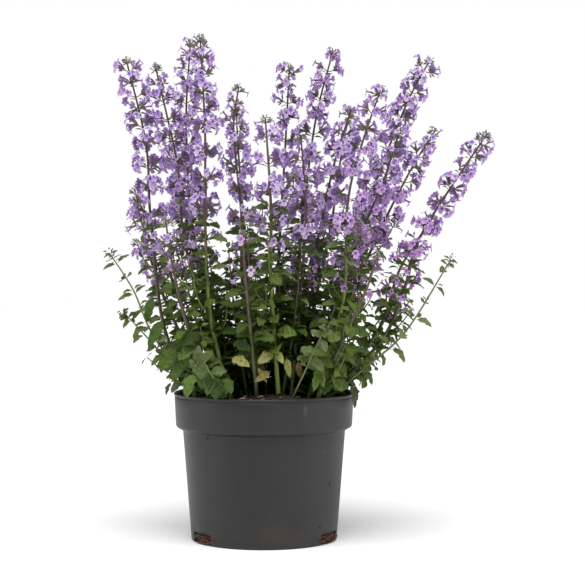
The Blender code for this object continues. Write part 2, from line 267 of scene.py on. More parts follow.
def body_radius(height):
    """Outer radius of the body, which widens evenly from its foot to its top."""
    return np.interp(height, (0.0, BODY_TOP), BODY_RADII)


def pot_wall(angle):
    """The wall's outline at every angle: round the foot, up the outside, over the lip and down inside.

    The foot climbs by SLOT_HEIGHT over a slot, and both sides of the body are shortened by that lift.
    """
    lift = SLOT_HEIGHT * slot_share(angle) ** 0.35
    foot_in = np.array((-1.25, -0.8, -0.35, 0.0))[:, None]
    foot_up = np.array((0.35, 0.0, 0.1, 0.6))[:, None] + lift
    rise = np.linspace(0.0, 1.0, 9)[1:, None] * (UNDER_COLLAR - lift - 0.6) + lift + 0.6
    over = np.array((
        (85.75, 114.3), (85.95, 115.2), (86.6, 115.8), (88.8, 117.0), (91.7, 118.7), (92.6, 119.5),
        (93.05, 120.3), (93.2, 121.4), (93.6, 130.0), (94.1, 141.0), (94.5, 149.8), (94.3, 150.5),
        (93.8, 151.1), (93.8, 151.9), (94.7, 152.3), (95.3, 152.8), (95.4, 153.6), (95.2, 154.5),
        (94.6, 155.0), (93.9, 154.9), (93.2, 154.3), (92.8, 152.5), (92.4, 145.0), (91.5, 122.0),
        (91.1, 120.7), (90.1, 119.8), (87.2, 118.0), (84.6, 116.2), (84.2, 114.6),
    ))
    down = np.linspace(1.0, 0.0, 6)[1:, None] * (113.0 - lift - 0.8) + lift + 0.8
    level = np.ones((1, len(angle)))
    outside = [body_radius(foot_up) + foot_in, body_radius(rise)]
    radius = [*outside, over[:, :1] * level, body_radius(down) - WALL]
    height = [foot_up, rise, over[:, 1:] * level, down]
    points = round_the_axis(np.concatenate(radius), np.concatenate(height), angle)
    return points, [grid_faces(1, points.shape[0], len(angle), True, looped=True)]


def pot_floor(angle):
    """Flat plate: rings from the middle of its top, round its edge and back under; notched at slots."""
    edge = FLOOR_RADIUS - FLOOR_NOTCH * slot_share(angle)
    share = np.array((0.02, 0.3, 0.6, 0.85, 0.992, 1.0, 1.0, 0.992, 0.85, 0.6, 0.3, 0.02))[:, None]
    height = np.array((2.0, 2.0, 2.0, 2.0, 2.0, 1.6, 0.4, 0.0, 0.0, 0.0, 0.0, 0.0))[:, None]
    points = round_the_axis((share * edge)[::-1], np.broadcast_to(height, (12, len(angle)))[::-1], angle)
    rings = (12, len(angle))
    return points, [grid_faces(1, *rings, True), end_faces(1, *rings, True, True)]


pot_plastic = Finish("pot_plastic", 0.42, (0.016, 0.016, 0.0155))
up = pot_plastic.height()
mottle = pot_plastic.noise(38.0, 5.0)
grain = pot_plastic.noise(900.0, 2.0)
upright = pot_plastic.stretched((1.0, 1.0, 0.35))
level = pot_plastic.stretched((1.0, 1.0, 5.0))
film = pot_plastic.between(pot_plastic.noise(14.0, 4.0, upright), 0.42, 0.72)
splash = (1.0 - pot_plastic.between(up, 0.004, 0.050)) * pot_plastic.between(mottle, 0.35, 0.75)
scuff = pot_plastic.between(pot_plastic.noise(60.0, 6.0, level), 0.68, 0.78)
grey = pot_plastic.blend((0.0065, 0.0065, 0.0064), (0.0115, 0.0115, 0.0112), mottle)
grey = pot_plastic.blend(grey, (0.030, 0.029, 0.027), film * 0.35)
grey = pot_plastic.blend(grey, (0.040, 0.028, 0.020), splash * 0.40)
grey = pot_plastic.blend(grey, (0.080, 0.078, 0.075), scuff * 0.25)
links = {0: upright, 1: (0.043, -0.084, 0.050)}
away = pot_plastic.node("ShaderNodeVectorMath", {"operation": "DISTANCE"}, links).outputs["Value"]
scratch = 1.0 - pot_plastic.between(Value(away) + 0.006 * (grain - 0.5), 0.0008, 0.0030)
grey = pot_plastic.blend(grey, (0.075, 0.073, 0.070), scratch * 0.4)
stain = (1.0 - pot_plastic.between(up + 0.006 * (mottle - 0.5), 0.0008, 0.0042)) * 0.7
grey = pot_plastic.blend(grey, (0.028, 0.013, 0.009), stain)
pot_plastic.colour(grey)
pot_plastic.roughness(0.40 + 0.16 * film + 0.05 * grain)
pot_plastic.bump(grain + 0.8 * mottle, 0.18, 0.0004)
pot_plastic.shader.inputs["Specular IOR Level"].default_value = 0.42

angles = pot_angles()
new_piece("nursery_pot", [pot_wall(angles)], pot_plastic, ["pot"])
floor_plate = new_piece("pot_floor", [pot_floor(angles)], pot_plastic)

# Six round drain holes through the floor of the pot, bored with pins that are taken away again.
HOLES = 6
HOLE_RADIUS = 4.0
HOLE_RING = 45.0
HOLE_SIDES = 24
hole_turn = np.radians(np.arange(HOLES) * 360.0 / HOLES + 30.0)
around = np.arange(HOLE_SIDES) * 2.0 * np.pi / HOLE_SIDES
pins = np.zeros((HOLES, 2, HOLE_SIDES, 3))
pins[..., 0] = HOLE_RING * np.cos(hole_turn)[:, None, None] + HOLE_RADIUS * np.cos(around)
pins[..., 1] = HOLE_RING * np.sin(hole_turn)[:, None, None] + HOLE_RADIUS * np.sin(around)
pins[..., 2] = np.array((-4.0, 6.0))[:, None]
pin_rings = (HOLES, 2, HOLE_SIDES)
pin_part = (pins, [grid_faces(*pin_rings, True), end_faces(*pin_rings, True, True)])
pin_piece = new_piece("hole_pins", [pin_part], pot_plastic)
bore = floor_plate.modifiers.new("Holes", "BOOLEAN")
bore.operation = "DIFFERENCE"
bore.solver = "EXACT"
bore.object = pin_piece
graph = bpy.context.evaluated_depsgraph_get()
bored = bpy.data.meshes.new_from_object(floor_plate.evaluated_get(graph))
floor_plate.modifiers.clear()
floor_plate.data = bored
bored.shade_flat()
bpy.data.objects.remove(pin_piece)

# The root ball: moist dark compost bound by roots, filling the pot to 12 mm under its lip. The top
# is loose and lumpy, and a mat of reddish roots lies against the wall and shows in the slots.
SOIL_TOP = 143.0
HEAP_HEIGHT = 12.0


def lumps(x, y, size, seed):
    """Uneven ground: eight waves of random direction and phase, about size apart from crest to crest."""
    draw = np.random.default_rng(seed)
    turn, phase = draw.uniform(0.0, 2.0 * np.pi, (2, 8))
    pace = 2.0 * np.pi / (size * draw.uniform(0.7, 1.6, 8))
    waves = np.sin((x[..., None] * np.cos(turn) + y[..., None] * np.sin(turn)) * pace + phase)
    return waves.mean(axis=-1)


def soil_height(x, y):
    """Height of the compost: level ground, coarse and fine lumps, and a low round heap at the front."""
    heap = HEAP_HEIGHT * np.exp(-(((x - 8.0) / 56.0) ** 2) - ((y + 60.0) / 50.0) ** 2)
    return SOIL_TOP + heap + 3.0 * lumps(x, y, 26.0, 3) + 2.4 * lumps(x, y, 9.0, 4)


def root_ball(angle):
    """Rings from under the ball, up its side and over its top.

    The side keeps up to 1.1 mm off the wall, in waves that run round it, and the top is soil_height.
    """
    side_height = np.array((2.4, 5.0, 9.0, 14.0, 40.0, 70.0, 105.0, 114.0, 119.0, 125.0, 135.0))[:, None]
    inside = np.interp(side_height, (0.0, 114.6, 118.5, 121.0, 145.0), (75.0, 83.9, 88.5, 90.9, 92.1))
    ragged = 0.35 * np.sin(angle * 0.83 + side_height) + 0.35
    side = np.broadcast_to(inside - ragged, (len(side_height), len(angle)))
    under = np.array((2.0, 40.0, 70.0))[:, None] * np.ones((1, len(angle)))
    top = np.linspace(91.6, 1.0, 60)[:, None] * np.ones((1, len(angle)))
    turn = np.radians(angle)
    heights = [np.full_like(under, 2.4), side_height * np.ones((1, len(angle)))]
    heights.append(soil_height(top * np.cos(turn), top * np.sin(turn)))
    points = round_the_axis(np.concatenate([under, side, top]), np.concatenate(heights), angle)
    rings = (points.shape[0], len(angle))
    return points, [grid_faces(1, *rings, True), end_faces(1, *rings, True, True)]


compost = Finish("compost", 0.92, (0.016, 0.011, 0.008))
fine = compost.noise(420.0, 6.0)
coarse = compost.noise(110.0, 4.0)
earth = compost.blend((0.006, 0.0045, 0.0035), (0.034, 0.022, 0.014), compost.between(fine, 0.40, 0.70))
earth = compost.blend(earth, (0.060, 0.038, 0.024), compost.between(coarse, 0.60, 0.72) * 0.6)
fibres = compost.noise(300.0, 3.0, compost.stretched((0.5, 0.5, 3.0)))
matted = 1.0 - compost.between(compost.height(), 0.105, 0.133)
matted = matted * compost.between(fibres, 0.45, 0.62)
compost.colour(compost.blend(earth, (0.085, 0.032, 0.019), matted))
compost.bump(fine + coarse, 0.9, 0.0016)
new_piece("root_ball_surface", [root_ball(np.arange(0.0, 360.0, 3.0))], compost, ["root_ball"])

# Loose crumbs of compost and chips of composted bark that lie on the root ball. Four crumbs have
# stuck to the outside of the pot, and six of the chips lie in view at the front.
CRUMBS = 900
CHIPS = 120


def pebbles(centre, size, turn, tilt, seed):
    """Uneven six-sided lumps: four rings of radius 0.55, 1, 0.95 and 0.5, each corner pushed at random."""
    draw = np.random.default_rng(seed)
    count = len(centre)
    ring = np.array((0.55, 1.0, 0.95, 0.5))[:, None]
    level = np.array((-1.0, -0.4, 0.35, 1.0))[:, None] * np.ones((1, 6))
    around = np.arange(6) * np.pi / 3.0
    shape = np.stack([ring * np.cos(around), ring * np.sin(around), level], axis=-1)
    shape = shape * draw.uniform(0.72, 1.28, (count, 4, 6, 1)) * size[:, None, None, :]
    c, s = np.cos(turn)[:, None, None], np.sin(turn)[:, None, None]
    x, y, z = np.moveaxis(shape, -1, 0)
    z = z + x * tilt[:, None, None]
    points = np.stack([x * c - y * s, x * s + y * c, z], axis=-1) + centre[:, None, None, :]
    return points, [grid_faces(count, 4, 6, True), end_faces(count, 4, 6, True, True)]


def scattered(count, seed, reach=90.0):
    """Points spread evenly over the compost inside the rim."""
    draw = np.random.default_rng(seed)
    far = reach * np.sqrt(draw.uniform(0.0, 1.0, count))
    turn = draw.uniform(0.0, 2.0 * np.pi, count)
    x, y = far * np.cos(turn), far * np.sin(turn)
    return np.stack([x, y, soil_height(x, y)], axis=-1), draw


crumb_place, draw = scattered(CRUMBS, 11)
crumb_size = draw.uniform(0.5, 1.9, (CRUMBS, 1)) * draw.uniform(0.7, 1.2, (CRUMBS, 3))
crumb_turn = draw.uniform(0.0, 6.28, CRUMBS)
crumb_part = pebbles(crumb_place, crumb_size, crumb_turn, draw.uniform(-0.5, 0.5, CRUMBS), 12)
stuck = np.array(((68.4, -44.9, 64.0), (58.3, -52.5, 20.3), (-57.0, -64.0, 112.4), (-52.0, -58.0, 30.0)))
stuck_size = np.array(((1.1, 1.1, 1.9), (0.8, 0.8, 1.0), (1.6, 0.9, 0.7), (0.7, 0.7, 1.1)))
unturned = np.zeros(len(stuck))
stuck_part = pebbles(stuck, stuck_size, unturned, unturned, 13)
new_piece("compost_crumbs", [crumb_part, stuck_part], compost)

bark = Finish("bark_chip", 0.85, (0.20, 0.12, 0.08))
number, _, _ = bark.shares()
streak = bark.noise(260.0, 4.0, bark.stretched((1.0, 0.3, 1.0)))
tone = bark.blend((0.050, 0.026, 0.016), (0.300, 0.180, 0.130), bark.chance(number, 0.5) ** 2.4)
bark.colour(bark.blend(tone, (0.030, 0.018, 0.012), bark.between(streak, 0.50, 0.70) * 0.7))
bark.bump(streak, 0.7, 0.0008)
chip_place, draw = scattered(CHIPS, 21, 88.0)
in_view = np.array(((-20, -72), (-12, -74.5), (-3, -72), (7, -75), (18, -71), (-27, -70)))
chip_place[:len(in_view), :2] = in_view
chip_place[:, 2] = soil_height(chip_place[:, 0], chip_place[:, 1]) + 0.8
chip_size = draw.uniform((2.2, 1.2, 0.5), (5.2, 2.6, 1.1), (CHIPS, 3))
chip_turn = draw.uniform(0.0, 6.28, CHIPS)
chip_part = pebbles(chip_place, chip_size, chip_turn, draw.uniform(-0.35, 0.35, CHIPS), 22)
new_piece("bark_chips", [chip_part], bark)

# Roots: reddish brown strands that crowd against the wall and push out a little at the slots. Each
# runs a few degrees along its slot, and its height and reach wander in small random steps.
ROOTS = 26
ROOT_RADIUS = 0.45


def unit(vectors):
    """The same directions, each divided by its own length."""
    return vectors / np.linalg.norm(vectors, axis=-1, keepdims=True)


def strands(centre_line, radius):
    """Five-sided threads: at each point of many lines, a ring of this radius square to the line."""
    way = unit(np.gradient(centre_line, axis=1))
    side = unit(np.cross(way, (0.31, 0.92, 0.11)))
    other = np.cross(way, side)
    turn = np.arange(5)[:, None] * 0.4 * np.pi
    out = np.cos(turn) * side[:, :, None] + np.sin(turn) * other[:, :, None]
    points = centre_line[:, :, None] + radius * out
    return points, [grid_faces(len(centre_line), centre_line.shape[1], 5, True)]


draw = np.random.default_rng(31)
slot = np.repeat(SLOT_ANGLES, ROOTS)[:, None]
along_slot = np.linspace(-1.0, 1.0, 9) * draw.uniform(3.0, 9.0, (3 * ROOTS, 1))
turn = np.radians(slot + draw.uniform(-8.0, 8.0, (3 * ROOTS, 1)) + along_slot)
sway = np.cumsum(draw.normal(0.0, 0.9, (3 * ROOTS, 9)), axis=1)
reach = np.clip(75.6 + draw.uniform(0.0, 2.4, (3 * ROOTS, 1)) + 0.6 * sway, 74.0, 79.2)
level = np.clip(draw.uniform(1.5, 8.5, (3 * ROOTS, 1)) + sway, 0.7, 9.0)
root_line = np.stack([reach * np.cos(turn), reach * np.sin(turn), level], axis=-1)
root_skin = Finish("root", 0.8, (0.070, 0.028, 0.017))
number, _, _ = root_skin.shares()
shade = root_skin.chance(number, 0.5)
root_skin.colour(root_skin.blend((0.018, 0.009, 0.006), (0.125, 0.046, 0.026), shade))
new_piece("slot_roots", [strands(root_line, ROOT_RADIUS)], root_skin)

# The stems: a catmint stem is square, green and thick at the foot, and thinner and purple-brown
# among the flowers. Each grows from the compost along its own smooth line.

# Name, foot (x, y), the points passed on the way up, the tip, and where the flowers begin.
FLOWERING = (
    ("far_left", (-48, -8), ((-100, -20, 211), (-117, -28, 335), (-122, -29, 415)), (-143, -35, 507), 330),
    ("left_low", (-56, 22), ((-98, 40, 267), (-116, 50, 315)), (-147, 55, 355), 290),
    ("left_outer", (-40, 8), ((-83, 8, 307), (-92, 8, 395)), (-116, 6, 504), 330),
    ("left_back", (-28, 36), ((-74, 46, 305), (-85, 50, 435)), (-80, 50, 535), 350),
    ("tallest", (-34, -32), ((-54, -40, 233), (-60, -42, 333), (-60, -42, 425)), (-65, -44, 529), 335),
    ("centre_left", (-14, -8), ((-23, -6, 275), (-24, -4, 345), (-32, 0, 430)), (-26, 2, 482), 325),
    ("front", (16, -50), ((8, -62, 270), (8, -64, 349)), (2, -64, 445), 350),
    ("centre", (8, 26), ((15, 34, 295), (22, 36, 412)), (27, 38, 507), 330),
    ("centre_back", (22, 54), ((40, 74, 325), (55, 82, 445)), (76, 86, 529), 340),
    ("middle_low", (28, -20), ((42, -28, 305), (43, -30, 365)), (38, -32, 430), 305),
    ("right_tall", (42, 16), ((98, 24, 317), (118, 26, 375), (153, 28, 463)), (180, 30, 513), 335),
    ("right_front", (56, -42), ((82, -54, 255), (86, -58, 350), (99, -60, 407)), (122, -60, 475), 315),
    ("right_inner", (22, 4), ((56, 0, 312), (74, -2, 396)), (93, -2, 457), 315),
    ("right_back", (56, 42), ((112, 66, 295), (157, 78, 387)), (190, 84, 441), 310),
    ("far_right", (66, -6), ((124, -14, 211), (148, -16, 267), (166, -16, 323)), (236, -20, 431), 290),
    ("right_mid", (46, -16), ((100, -24, 315), (124, -26, 375)), (142, -26, 431), 305),
    ("right_low", (70, 18), ((124, 28, 222), (146, 34, 285)), (186, 40, 347), 275),
    ("back_left", (-42, 52), ((-80, 92, 305), (-98, 106, 385)), (-110, 114, 443), 310),
    ("back", (-8, 60), ((-22, 100, 305), (-30, 116, 405)), (-34, 124, 470), 325),
    ("back_right", (32, 72), ((70, 114, 315), (84, 128, 405)), (94, 136, 457), 325),
    ("rear_right", (54, 60), ((102, 98, 295), (126, 112, 355)), (140, 120, 405), 300),
    ("rear_left", (-62, 38), ((-112, 70, 255), (-132, 84, 315)), (-146, 92, 377), 290),
    ("front_left", (-56, -34), ((-82, -66, 245), (-92, -80, 295)), (-98, -90, 341), 270),
    ("low_right", (54, -62), ((88, -92, 231), (104, -104, 267)), (116, -112, 307), 245),
    ("low_front", (-6, -56), ((-14, -84, 241), (-18, -92, 285)), (-20, -98, 327), 267),
)
# The same without flowers.
LEAFY = (
    ("shoot_left", (-64, -16), ((-112, -38, 213), (-134, -42, 263)), (-158, -42, 301)),
    ("shoot_right", (66, -30), ((104, -42, 183), (146, -50, 221)), (192, -56, 295)),
    ("shoot_rim_left", (-40, -62), ((-52, -92, 181), (-60, -112, 195)), (-66, -128, 191)),
    ("shoot_rim_right", (28, -68), ((44, -98, 187), (54, -116, 211)), (62, -128, 227)),
    ("shoot_back", (-26, 74), ((-40, 108, 205), (-52, 132, 245)), (-60, 146, 273)),
    ("shoot_back_right", (72, 44), ((110, 78, 205), (134, 92, 237)), (156, 104, 261)),
    ("shoot_back_left", (-70, 16), ((-112, 26, 195), (-134, 34, 219)), (-152, 40, 237)),
)
# The stems that are brighter green. Those of them that flower are thicker as well.
FRESH = ("tallest", "front", "right_front", "shoot_rim_left")
UNDER_SOIL = 136.0
AT_SOIL = 149.0
RING_STEP = 3.0
FOOT_RADIUS = 1.75
FRESH_RADIUS = 2.35
TIP_RADIUS = 0.75


def smooth_line(knots):
    """A cubic curve through the knots, with points RING_STEP apart.

    At each knot it runs parallel to the line between the two knots beside it.
    """
    knots = np.array(knots, float)
    knots = np.vstack([2 * knots[0] - knots[1], knots, 2 * knots[-1] - knots[-2]])
    share = np.linspace(0.0, 1.0, 16, endpoint=False)[:, None]
    spans = []
    for a, b, c, d in zip(knots, knots[1:], knots[2:], knots[3:]):
        bend = (2 * a - 5 * b + 4 * c - d) * share**2 + (3 * b - a - 3 * c + d) * share**3
        spans.append(0.5 * (2 * b + (c - a) * share + bend))
    fine = np.vstack([*spans, knots[-2:-1]])
    run = np.append(0.0, np.cumsum(np.linalg.norm(np.diff(fine, axis=0), axis=1)))
    even = np.linspace(0.0, run[-1], max(4, int(run[-1] / RING_STEP)))
    return np.stack([np.interp(even, run, fine[:, axis]) for axis in range(3)], axis=1)


def rising(foot, *knots):
    """The line of a stem that stands upright in the compost at foot and then passes the knots."""
    return smooth_line(((*foot, UNDER_SOIL), (*foot, AT_SOIL), *knots))


def swung(side, way, turn, rise=0.0):
    """The direction side, turned about way by one angle and then tipped towards way by another."""
    out = np.cos(turn) * side + np.sin(turn) * np.cross(way, side)
    return np.cos(rise) * out + np.sin(rise) * way


class Line:
    """A stem's middle line, with a place, a way up and a sideways direction at every distance."""

    def __init__(self, points):
        """The run adds up the steps, way is the slope along it, and side is square to way."""
        self.points = points
        self.run = np.append(0.0, np.cumsum(np.linalg.norm(np.diff(points, axis=0), axis=1)))
        self.length = self.run[-1]
        self.way = unit(np.gradient(points, self.run, axis=0))
        self.side = unit(np.cross(self.way, (0.12, 1.0, 0.05)))

    def at(self, distance):
        """Place, way and side at a distance, read between the nearest two points."""
        values = [
            np.stack([np.interp(distance, self.run, table[:, axis]) for axis in range(3)], axis=-1)
            for table in (self.points, self.way, self.side)
        ]
        return values[0], unit(values[1]), unit(values[2])

    def reaches(self, height):
        """The distance along the line at which it has risen to a height."""
        return float(np.interp(height, self.points[:, 2], self.run))


def square_stalk(line, radius):
    """Rings of eight along a line; corners stand out by a tenth and the faces between are hollow."""
    around = np.arange(8) * np.pi / 4.0
    reach = radius[:, None, None] * np.where(np.arange(8) % 2, 0.88, 1.10)[:, None]
    other = np.cross(line.way, line.side)
    out = np.cos(around)[:, None] * line.side[:, None] + np.sin(around)[:, None] * other[:, None]
    points = line.points[:, None] + reach * out
    rings = (len(line.points), 8)
    return points, [grid_faces(1, *rings, True), end_faces(1, *rings, True, True)]


def darker(colour, share):
    """The colour with each of its parts multiplied by share."""
    return tuple(share * part for part in colour)


def stem_finish(name, low, high, turns_at):
    """Bark colour: low at the foot, high among the flowers, with paler ribs and fine dark streaks."""
    finish = Finish(name, 0.55, low)
    _, across, _ = finish.shares()
    up = finish.height()
    streak = finish.noise(240.0, 3.0, finish.stretched((1.0, 1.0, 0.15)))
    ribs = (across * 25.13).of("COSINE")
    change = finish.between(up + 0.06 * (streak - 0.5), turns_at - 0.06, turns_at + 0.08)
    tone = finish.blend(low, high, change)
    tone = finish.blend(tone, darker(low, 0.45), finish.between(streak, 0.45, 0.75) * 0.45)
    finish.colour(finish.blend(tone, (0.24, 0.26, 0.15), finish.between(ribs, 0.3, 1.0) * 0.14))
    finish.bump(streak, 0.25, 0.0004)
    return finish


fresh_stem = stem_finish("fresh_stem", (0.185, 0.270, 0.042), (0.110, 0.048, 0.052), 0.280)
dusky_stem = stem_finish("dusky_stem", (0.075, 0.105, 0.026), (0.095, 0.042, 0.047), 0.220)

# The leaves: opposite pairs, each a quarter turn from the pair below, soft grey-green with a
# scalloped edge, a sunken midrib and puckered veins. Small tufts grow in their axils.
LEAF_STEP = 15.0
LOWEST_LEAF = 155.0
FINE_LEAF = 15.0


def leaf_blades(rings, base, along, up, length, width, droop, fold, wave=0.05):
    """Blades: row v of 0..1 from stalk to tip, column u of -1..1 from edge to edge.

    The midline bends down by the angle droop times v. The half width follows an egg-shaped outline
    that narrows to a short leaf stalk, and every other row of the edge stands out as a scallop. The
    halves rise from the midrib by the angle fold. The edge waves up and down by wave times width, and
    ripples half as high run slantwise from the midrib outwards.
    """
    v = np.linspace(0.0, 1.0, rings[0])
    u = np.linspace(-1.0, 1.0, rings[1])
    outline = np.interp(v, (0, 0.10, 0.17, 0.29, 0.42, 0.60, 0.78, 0.91, 1.0),
                        (0.05, 0.07, 0.54, 0.94, 1.0, 0.91, 0.68, 0.40, 0.05))
    outline = outline * (1.0 + 0.10 * (np.arange(rings[0]) % 2) * (v > 0.15))
    bend = np.maximum(droop, 0.05)[:, None] * v
    pace = (length / np.maximum(droop, 0.05))[:, None]
    forward, drop = pace * np.sin(bend), pace * (1.0 - np.cos(bend))
    side = np.cross(along, up)
    across = 0.5 * width[:, None] * outline
    lift = np.abs(u) * np.sin(fold)[:, None, None] * across[..., None]
    ripple = np.sin(v * 16.0)[:, None] * u**2 + 0.5 * np.sin(v[:, None] * 30.0 + 5.0 * np.abs(u))
    lift = lift + wave * width[:, None, None] * ripple * outline[:, None]
    midline = forward[..., None] * along[:, None] - drop[..., None] * up[:, None]
    normal = np.cos(bend)[..., None] * up[:, None] + np.sin(bend)[..., None] * along[:, None]
    points = base[:, None, None] + midline[:, :, None]
    points = points + (across[..., None] * u * np.cos(fold)[:, None, None])[..., None] * side[:, None, None]
    points = points + lift[..., None] * normal[:, :, None]
    return points, [grid_faces(len(base), *rings, False)]


def leaf_finish(name, tones, pale, share):
    """Leaf colour: each leaf its own tone, with mottling, a darker edge and a paler midrib and veins.

    The veins are the crests of a sine along the leaf that is set back by the distance from the midrib.
    Painted shade darkens the leaves in the heart of the clump, and the leaves are greyer among the flowers.
    """
    finish = Finish(name, 0.62, tones[0])
    number, across, along = finish.shares()
    off = (across - 0.5).of("ABSOLUTE")
    veins = finish.between(((along - off * 0.55) * 44.0).of("SINE"), 0.72, 1.0)
    rib = 1.0 - finish.between(off, 0.015, 0.060)
    mottle = finish.noise(330.0, 4.0)
    tone = finish.blend(tones[0], tones[1], finish.chance(number, 0.5))
    tone = finish.blend(tone, tones[2], finish.between(finish.chance(number, 7.5), 0.55, 1.0))
    tone = finish.blend(tone, darker(tones[0], 0.4), finish.between(mottle, 0.48, 0.72) * 0.6)
    tone = finish.blend(tone, darker(tones[0], 0.6), finish.between(off, 0.25, 0.48) * 0.35)
    tone = finish.blend(tone, pale, rib * 0.36)
    tone = finish.blend(tone, pale, veins * 0.20)
    # Painted shade: leaves near the middle of the clump and below the flowers are darkened (heart) to stand
    # in for the shade inside the clump.
    split = finish.node("ShaderNodeSeparateXYZ", {}, {"Vector": finish.place})
    x, y = Value(split.outputs["X"]), Value(split.outputs["Y"]) - 0.030
    reach = (x * x + y * y) ** 0.5
    up = finish.height()
    heart = (1.0 - finish.between(reach, 0.050, 0.100)) * (1.0 - finish.between(up, 0.22, 0.33))
    tone = finish.blend(tone, darker(tones[0], 0.30), heart * 0.70)
    tone = finish.blend(tone, (0.195, 0.225, 0.115), finish.between(up, 0.25, 0.37) * 0.55)
    finish.colour(tone)
    finish.shader.inputs["Specular IOR Level"].default_value = 0.30
    finish.bump(mottle * 0.8 - rib * 0.8 - veins * 0.6, 0.70, 0.0014)
    finish.let_light_through(tones[1], share)
    return finish


leaf_tones = ((0.048, 0.086, 0.012), (0.108, 0.172, 0.020), (0.140, 0.200, 0.050))
foliage = leaf_finish("leaf", leaf_tones, (0.23, 0.31, 0.09), 0.28)


def outwards(foot, tip, share):
    """The level direction in which a stem leans, as long as share."""
    lean = np.array((tip[0] - foot[0], tip[1] - foot[1], 0.0))
    return share * lean / np.linalg.norm(lean)


class Growth:
    """What one stem carries: its stalks, and rows of numbers for its leaves, calyces and petals.

    The upper faces of its leaves lean towards the direction facing, or nowhere if that is zero.
    """

    def __init__(self, seed, facing=(0.0, 0.0, 0.0)):
        self.draw = np.random.default_rng(seed)
        self.facing = np.array(facing)
        self.stalks = []
        self.twigs = []
        self.leaves = []
        self.calyces = []
        self.buds = []
        self.petals = []

    def leaf(self, base, along, up, length, width, droop, fold):
        """Keeps one leaf, its upward direction leant towards facing and made square to along."""
        up = up + self.facing
        up = unit(up - along * (up @ along))
        self.leaves.append((*base, *along, *up, length, width, droop, fold))


def apart(rows):
    """Rows of numbers as base, forward and up vectors and then one array for each other number."""
    return rows[:, 0:3], rows[:, 3:6], rows[:, 6:9], *rows[:, 9:].T


def clears_pot(points):
    """Leaves that stay out of the pot's wall, the compost and the bare patch at the front."""
    reach = np.hypot(points[..., 0], points[..., 1])
    height = points[..., 2]
    in_wall = (reach > 89.5) & (reach < 97.5) & (height < 157.0)
    in_soil = (reach <= 91.0) & (height < soil_height(points[..., 0], points[..., 1]) + 0.5)
    outside = (reach >= 97.0) & (height < 100.0)
    bare = (np.abs(points[..., 0] - 14.0) < 46.0) & (points[..., 1] < -28.0) & (height < 184.0)
    return ~(in_wall | in_soil | outside | bare).any(axis=(1, 2))


def leaf_pair(growth, line, distance, turn, length, tufts, hang):
    """Two leaves opposite each other at one node, each with a tuft of small leaves above it.

    Each leaf tips up from square to the stem, more so as hang grows, and then droops more as well.
    """
    place, way, side = line.at(distance)
    draw = growth.draw
    for half in (0.0, np.pi):
        angle = turn + half + draw.normal(0.0, 0.14)
        out = swung(side, way, angle)
        along = swung(side, way, angle, draw.uniform(-0.05, 0.35) + 0.3 * hang)
        size = length * draw.uniform(0.85, 1.12)
        width = size * draw.uniform(0.54, 0.68)
        growth.leaf(place + out * 1.2, along, way, size, width, draw.uniform(0.3, 0.8) + 0.7 * hang, 0.3)
        for _ in range(tufts):
            swing = angle + draw.normal(0.0, 0.8)
            along = swung(side, way, swing, draw.uniform(0.1, 1.1))
            small = length * draw.uniform(0.36, 0.74)
            base = place + out * 1.5 + way * draw.uniform(0.5, 5.0)
            width = small * draw.uniform(0.46, 0.62)
            growth.leaf(base, along, way, small, width, draw.uniform(0.2, 1.1), 0.4)


def clothe(growth, line, first, last, big, small, tufts, gap=LEAF_STEP):
    """Leaf pairs from one distance to another, about gap apart, each a quarter turn on from the last.

    Their length falls evenly from big to small, and the tufts thin out to two fifths.
    """
    count = max(2, int((last - first) / gap) + 1)
    turn = growth.draw.uniform(0.0, np.pi)
    for step, distance in enumerate(np.linspace(first, last, count)):
        share = step / (count - 1)
        leaf_pair(
            growth, line, distance, turn + step * 0.5 * np.pi, big + (small - big) * share,
            int(round(tufts * (1.0 - 0.60 * share))), 1.0 - share,
        )


# The flowers: rings of small lilac two-lipped flowers round the stalk, more open and crowded below
# and closed buds at the tip. Each flower is a tube that flares into a broad lower lip, two side lobes
# and a hood, held in a ribbed purple-green calyx with pointed teeth.
WHORL_STEP = 30.0
WHORL_FIRST = 12.0
STEP_SHRINK = 0.89
LEAST_STEP = 0.45 * WHORL_STEP
# Points left off the end of a flowering stem's line, where the buds stand out past it.
BUD_RINGS = 2
OPEN_SHARE = 0.84
CROWD = 15
# The lowest step between rings on stems where it isn't WHORL_STEP.
STEPS = {"far_right": 29.0, "right_tall": 27.0, "right_back": 25.0, "right_mid": 27.0, "far_left": 27.0}
# The share of open flowers, and the flowers to a cluster, on stems that have few.
SHY = {
    "centre_left": (0.42, 9), "low_right": (0.10, 5), "low_front": (0.25, 6), "front_left": (0.15, 5),
    "left_low": (0.55, 7), "right_low": (0.6, 7), "rear_left": (0.6, 8),
}
TUBE = 8.0
# The angle of each ray round the mouth, and its length.
PETAL_RAYS = np.radians((-118, -100, -80, -62, -40, -16, 10, 34, 58, 80, 100, 122, 146, 170, 196, 220))
PETAL_LIPS = np.array((4.8, 5.7, 5.7, 4.8, 1.6, 3.3, 3.4, 1.6, 3.9, 4.5, 4.5, 3.9, 1.6, 3.4, 3.3, 1.6))


